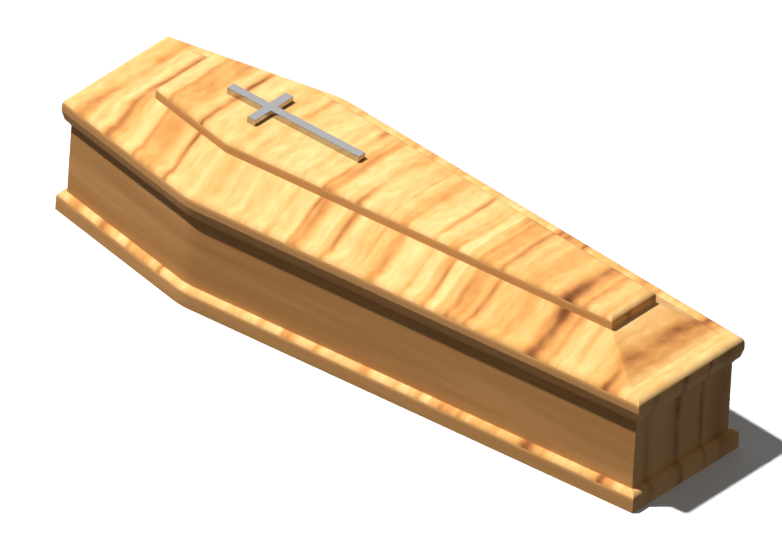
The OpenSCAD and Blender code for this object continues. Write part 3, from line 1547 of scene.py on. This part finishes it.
@dataclass(frozen=True)
class Cross:
    """The metal cross that lies on the panel.

    Attributes:
        low: the lowest corner of its box.
        high: the highest corner.
        bar: width of both bars.
        arm_at: distance from its top end to the nearer edge of the arms.
        ease: rounding of its edges.
        steps: straight steps in that rounding.
    """

    low: Vector
    high: Vector
    bar: float = 28 * MM
    arm_at: float = 127 * MM
    ease: float = 1.2 * MM
    steps: int = 4

    def outline(self, inset: float) -> Array:
        """Plan of the cross, moved inwards: each corner moves against both of its edges' normals.

        Args:
            inset: how far.

        Returns:
            The twelve corners in plan.
        """
        top, tip = self.low.x, self.high.x
        near, far = top + self.arm_at, top + self.arm_at + self.bar
        half, arm = self.bar / 2, self.high.y
        right = np.array([
            (top, -half), (near, -half), (near, -arm),
            (far, -arm), (far, -half), (tip, -half),
        ])
        points = np.concatenate([right, right[::-1] * [1, -1]])
        edge = np.roll(points, -1, axis=0) - points
        edge /= np.linalg.norm(edge, axis=1, keepdims=True)
        normal = np.stack([edge[:, 1], -edge[:, 0]], axis=1)
        return points - inset * (normal + np.roll(normal, 1, axis=0))

    def build(self, shop: Workshop) -> None:
        """Builds the cross as its outline at each level of a rounded edge.

        Args:
            shop: the edge work and finishes.
        """
        turn = np.linspace(0, pi / 2, self.steps + 1)
        inset = self.ease * (1 - np.sin(turn))
        rise = self.ease * (1 - np.cos(turn))
        flat = self.ease + shop.joinery.flat
        insets = np.concatenate([[flat], inset, inset[::-1], [flat]])
        low, high = self.low.z, self.high.z
        levels = np.concatenate([[low], low + rise, high - rise[::-1], [high]])
        plans = np.array([self.outline(float(inset)) for inset in insets])
        heights = np.broadcast_to(levels[:, None, None], (*plans.shape[:2], 1))
        rings = np.concatenate([plans, heights], axis=-1)
        chart = np.concatenate([plans, plans[:, :1]], axis=1)
        zones = np.full((len(rings) - 1, rings.shape[1]), Zone.METAL)
        shell = Shell(rings, chart, zones, (Zone.METAL, Zone.METAL))
        place(shell.build("metal_cross", shop.finishes), "cross")


# ---------------------------------------------------------------- the studio


@dataclass(frozen=True)
class Studio:
    """A plain pale floor and soft light from above the head end.

    The sky's steps go by a direction's share towards the window, or by its share upwards.

    Attributes:
        azimuth: the camera's, in degrees; 0 looks along +Y.
        elevation: the camera's, in degrees.
        roll: the camera's turn about its own axis, in degrees.
        aim: the middle of the view.
        width: what the view takes in from left to right.
        distance: from the aim to the camera.
        key_from: direction to the key light.
        key_strength: of the key light.
        key_angle: how wide the key light looks, in degrees.
        window_from: direction to the soft window.
        window: what the window adds to the sky.
        low_sky: what the sky gains above the horizon.
        high_sky: what it loses again overhead.
        least_sky: its strength everywhere.
        mirrored: its strength in a mirror.
        floor_colour: of the floor.
        floor_reach: half the floor's width, and the backdrop's radius.
        dome_steps: faces of the backdrop from pole to pole.
    """

    azimuth: float = 38.25
    elevation: float = 34.58
    roll: float = 3.66
    aim: tuple[float, float, float] = (-0.0302, 0.0, 0.1599)
    width: float = 2.1064
    distance: float = 6.0
    key_from: tuple[float, float, float] = (-0.287, -0.284, 0.915)
    key_strength: float = 4.24
    key_angle: float = 2.5
    window_from: tuple[float, float, float] = (-0.51, 0.647, 0.568)
    window: Step = Step(0.70, 0.95, 0.0, 0.04)
    low_sky: Step = Step(0.1, 0.45, 0.0, 0.10)
    high_sky: Step = Step(0.6, 0.95, 0.0, -0.10)
    least_sky: float = 0.082
    mirrored: Step = Step(0.88, 0.97, 0.4, 1.04)
    floor_colour: Colour = (0.95, 0.985, 1.0, 1.0)
    floor_reach: float = 40.0
    dome_steps: int = 32

    def plain(self, name: str, kind: str, **inputs: float) -> bpy.types.Material:
        """Makes a material of the floor's colour.

        Args:
            name: the material's name.
            kind: the type of its shader node, without the leading ShaderNode.
            **inputs: the shader's other inputs.

        Returns:
            The material.
        """
        made = bpy.data.materials.new(name)
        tree = Tree(made)
        shader = tree.add(kind, {"Color": self.floor_colour, **inputs})
        tree.add("OutputMaterial", {0: shader.outputs[0]})
        return made

    def floor(self) -> None:
        """The floor, whose own brightness doesn't light the object from below."""
        reach = self.floor_reach
        corners = [(-reach, -reach, 0), (reach, -reach, 0), (reach, reach, 0), (-reach, reach, 0)]
        mesh = bpy.data.meshes.new("floor")
        mesh.from_pydata(corners, [], [(0, 1, 2, 3)])
        mesh.materials.append(self.plain("pale_floor", "BsdfDiffuse"))
        floor = stand("floor", mesh)
        floor.visible_diffuse = False
        floor.visible_glossy = False

    def backdrop(self) -> None:
        """A pale dome beyond the floor, which only closes the view."""
        bpy.ops.mesh.primitive_uv_sphere_add(
            segments=2 * self.dome_steps, ring_count=self.dome_steps, radius=self.floor_reach
        )
        dome = bpy.context.object
        dome.name = "backdrop"
        dome.data.materials.append(self.plain("pale_backdrop", "Emission", Strength=1.0))
        for ray in ("diffuse", "glossy", "shadow", "transmission"):
            setattr(dome, f"visible_{ray}", False)

    def key(self) -> None:
        """The key light, which leaves no glare on the varnish."""
        lamp = bpy.data.lights.new("key", "SUN")
        lamp.energy = self.key_strength
        lamp.angle = radians(self.key_angle)
        key = stand("key", lamp)
        key.rotation_mode = "QUATERNION"
        key.rotation_quaternion = Vector(self.key_from).to_track_quat("Z", "Y")
        key.visible_glossy = False

    def sky(self) -> None:
        """A world that is a soft window, a band of sky and a dim rest, and other in a mirror."""
        world = bpy.data.worlds.new("studio")
        bpy.context.scene.world = world
        tree = Tree(world)
        way = tree.add("TexCoord", {}).outputs["Generated"]
        facing = tree.add("VectorMath", {0: way, 1: self.window_from}, operation="DOT_PRODUCT")
        towards = facing.outputs["Value"]
        upwards = tree.add("SeparateXYZ", {0: way}).outputs["Z"]
        window = tree.math("ADD", tree.remap(towards, self.window), self.least_sky)
        band = tree.math(
            "ADD", tree.remap(upwards, self.low_sky), tree.remap(upwards, self.high_sky)
        )
        diffuse = tree.math("ADD", band, window)
        extra = tree.math("SUBTRACT", tree.remap(towards, self.mirrored), diffuse)
        in_mirror = tree.add("LightPath", {}).outputs["Is Glossy Ray"]
        total = tree.math("MULTIPLY_ADD", extra, in_mirror, diffuse)
        back = tree.add("Background", {"Color": (1, 1, 1, 1), "Strength": total})
        tree.add("OutputWorld", {0: back.outputs[0]})

    def camera(self) -> None:
        """The camera, without perspective, turned a little about its own axis."""
        a, e, t = (radians(value) for value in (self.azimuth, self.elevation, self.roll))
        back = Vector((sin(a) * cos(e), -cos(a) * cos(e), sin(e)))
        level = Vector((cos(a), sin(a), 0.0))
        above = back.cross(level)
        right = cos(t) * level + sin(t) * above
        up = cos(t) * above - sin(t) * level
        lens = bpy.data.cameras.new("camera")
        lens.type = "ORTHO"
        lens.ortho_scale = self.width
        camera = stand("camera", lens)
        camera.rotation_mode = "QUATERNION"
        camera.rotation_quaternion = Matrix((right, up, back)).transposed().to_quaternion()
        camera.location = Vector(self.aim) + back * self.distance
        bpy.context.scene.camera = camera

    def build(self) -> None:
        """Sets up the whole studio."""
        self.camera()
        self.floor()
        self.backdrop()
        self.key()
        self.sky()
        bpy.context.scene.view_settings.view_transform = "Standard"


# ---------------------------------------------------------------- all together


def make_finishes(length: float) -> dict[Zone, bpy.types.Material]:
    """Makes the material of each zone.

    Args:
        length: of the case.

    Returns:
        The materials by zone.
    """
    figure = WoodFinish(
        name="figured_veneer", grain=Grain.ACROSS, palette=WOOD_COLOURS, tone=0.17,
        bands=Ripple(0.22, 22.0, 2.0), clouds=Ripple(0.15, 48.0, 22.0),
        streaks=from_head(LID_STREAKS, length), wander=Ripple(9 * MM, 4.0, 6.0),
        joint=VENEER_JOINT - length / 2,
    )
    side = WoodFinish(
        name="side_boards", grain=Grain.ALONG, palette=SIDE_COLOURS, tone=0.5,
        bands=Ripple(0.45, 14.0, 1.0), clouds=Ripple(0.15, 40.0, 3.0), seed=31.0,
    )
    trim = WoodFinish(
        name="mouldings", grain=Grain.ALONG, palette=SIDE_COLOURS, tone=0.22,
        bands=Ripple(0.25, 18.0, 1.2), clouds=Ripple(0.10, 60.0, 3.0), seed=37.0,
    )
    end = WoodFinish(
        name="upright_veneer", grain=Grain.UPRIGHT, palette=END_COLOURS, tone=0.19,
        bands=Ripple(0.25, 12.0, 1.0), clouds=Ripple(0.10, 60.0, 12.0),
        streaks=END_STREAKS, seed=53.0,
    )
    inner = WoodFinish(
        name="planed_wood", grain=Grain.ALONG, palette=WOOD_COLOURS, tone=0.34,
        bands=Ripple(0.10, 20.0, 1.0), clouds=Ripple(0.05, 50.0, 5.0), roughness=0.6, seed=71.0,
    )
    metal = MetalFinish("polished_metal", (0.45, 0.45, 0.45, 1.0))
    made = {
        Zone.TOP: figure, Zone.SIDE: side, Zone.TRIM: trim, Zone.END: end,
        Zone.INNER: inner, Zone.METAL: metal,
    }
    return {zone: finish.material() for zone, finish in made.items()}


def main() -> None:
    """Builds the studio and then every piece, from the case up to the cross.

    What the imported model's boxes give is taken from them: an end piece's box, for example, has
    the height and the reach of its moulding.
    """
    logging.basicConfig(level=logging.INFO, format="%(message)s")
    Studio().build()
    _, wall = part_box("side_left")
    _, head_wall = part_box("head_board")
    _, foot_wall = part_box("foot_board")
    _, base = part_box("base_board")
    _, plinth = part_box("plinth_foot")
    cornice_low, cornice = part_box("cornice_foot")
    rail_low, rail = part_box("lid_rail_foot")
    head_slope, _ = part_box("lid_slope_head")
    _, foot_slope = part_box("lid_slope_foot")
    panel_low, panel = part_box("lid_panel")
    half = wall.x
    outline = Outline(length=2 * half, head_width=2 * head_wall.y, foot_width=2 * foot_wall.y)
    shop = Workshop(outline, Joinery(), make_finishes(2 * half))
    ledges = {End.HEAD: half + head_slope.x, End.FOOT: half - foot_slope.x}
    runs = {
        End.HEAD: half + panel_low.x - ledges[End.HEAD],
        End.FOOT: half - panel.x - ledges[End.FOOT],
    }
    Case(height=wall.z, base=base.z).build(shop)
    Plinth(height=plinth.z, out=plinth.x - half).build(shop)
    Cornice(low=cornice_low.z, top=cornice.z, out=cornice.x - half).build(shop)
    Lid(
        low=rail_low.z, ledge_height=rail.z, panel_height=panel_low.z, top=panel.z,
        out=rail.x - half, end_ledges=ledges, end_runs=runs,
        side_ledge=18.5 * MM, side_run=102.5 * MM,
    ).build(shop)
    Cross(*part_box("cross")).build(shop)


if __name__ == "__main__":
    main()
